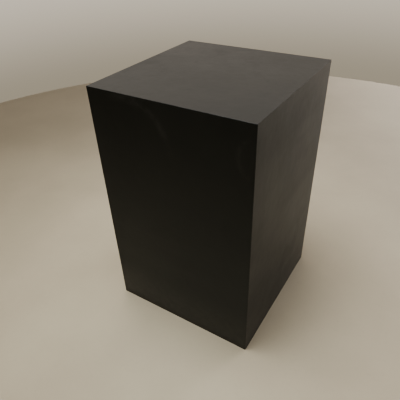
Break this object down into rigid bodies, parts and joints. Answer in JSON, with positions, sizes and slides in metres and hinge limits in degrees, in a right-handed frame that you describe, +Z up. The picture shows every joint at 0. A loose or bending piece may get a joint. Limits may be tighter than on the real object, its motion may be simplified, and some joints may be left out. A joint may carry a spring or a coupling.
{
  "type": "display plinth",
  "caption": "Square museum display plinth: mitred black MDF box over a softwood frame, with a recessed base board and hidden screw-down levelling feet.",
  "frame": {"origin": "middle of the footprint, at floor level, where the panel edges stand", "axes": "+Z up; -Y out of the front face; +X out of the right face"},
  "size_m": [0.475, 0.475, 0.75],
  "materials": {
    "black_lacquer": "satin",
    "raw_mdf": "matte",
    "softwood": "matte",
    "beech": "matte",
    "zinc_steel": "satin",
    "nylon": "matte"
  },
  "bodies": {
    "carcass": {"back_panel": "black_lacquer", "base_board": "raw_mdf", "base_board_screws": "zinc_steel", "batten_back_left": "softwood", "batten_back_right": "softwood", "batten_front_left": "softwood", "batten_front_right": "softwood", "batten_screws": "zinc_steel", "bottom_rail_back": "softwood", "bottom_rail_front": "softwood", "bottom_rail_left": "softwood", "bottom_rail_right": "softwood", "bottom_rail_screws": "zinc_steel", "corner_biscuits": "beech", "front_panel": "black_lacquer", "left_panel": "black_lacquer", "right_panel": "black_lacquer", "tee_nuts": "zinc_steel", "top_biscuits": "beech", "top_brace": "softwood", "top_brace_screws": "zinc_steel", "top_panel": "black_lacquer", "top_rail_back": "softwood", "top_rail_front": "softwood", "top_rail_left": "softwood", "top_rail_right": "softwood", "top_rail_screws": "zinc_steel"},
    "foot_front_left": {"foot_pad_front_left": "nylon"},
    "stem_front_left": {"foot_stem_front_left": "zinc_steel"},
    "foot_front_right": {"foot_pad_front_right": "nylon"},
    "stem_front_right": {"foot_stem_front_right": "zinc_steel"},
    "foot_back_left": {"foot_pad_back_left": "nylon"},
    "stem_back_left": {"foot_stem_back_left": "zinc_steel"},
    "foot_back_right": {"foot_pad_back_right": "nylon"},
    "stem_back_right": {"foot_stem_back_right": "zinc_steel"}
  },
  "joints": [
    {"name": "foot_front_left_travel", "type": "slide", "parent": "carcass", "child": "foot_front_left", "axis": [0, 0, -1], "range_m": [0, 0.015]},
    {"name": "foot_front_left_turn", "type": "hinge", "parent": "foot_front_left", "child": "stem_front_left", "pos_m": [-0.16, -0.16, 0], "axis": [0, 0, -1], "range_deg": [0, 4320]},
    {"name": "foot_front_right_travel", "type": "slide", "parent": "carcass", "child": "foot_front_right", "axis": [0, 0, -1], "range_m": [0, 0.015]},
    {"name": "foot_front_right_turn", "type": "hinge", "parent": "foot_front_right", "child": "stem_front_right", "pos_m": [0.16, -0.16, 0], "axis": [0, 0, -1], "range_deg": [0, 4320]},
    {"name": "foot_back_left_travel", "type": "slide", "parent": "carcass", "child": "foot_back_left", "axis": [0, 0, -1], "range_m": [0, 0.015]},
    {"name": "foot_back_left_turn", "type": "hinge", "parent": "foot_back_left", "child": "stem_back_left", "pos_m": [-0.16, 0.16, 0], "axis": [0, 0, -1], "range_deg": [0, 4320]},
    {"name": "foot_back_right_travel", "type": "slide", "parent": "carcass", "child": "foot_back_right", "axis": [0, 0, -1], "range_m": [0, 0.015]},
    {"name": "foot_back_right_turn", "type": "hinge", "parent": "foot_back_right", "child": "stem_back_right", "pos_m": [0.16, 0.16, 0], "axis": [0, 0, -1], "range_deg": [0, 4320]}
  ],
  "couplings": [
    {"joint": "foot_front_left_turn", "follows": "foot_front_left_travel", "rad_per_m": 5026.5},
    {"joint": "foot_front_right_turn", "follows": "foot_front_right_travel", "rad_per_m": 5026.5},
    {"joint": "foot_back_left_turn", "follows": "foot_back_left_travel", "rad_per_m": 5026.5},
    {"joint": "foot_back_right_turn", "follows": "foot_back_right_travel", "rad_per_m": 5026.5}
  ]
}
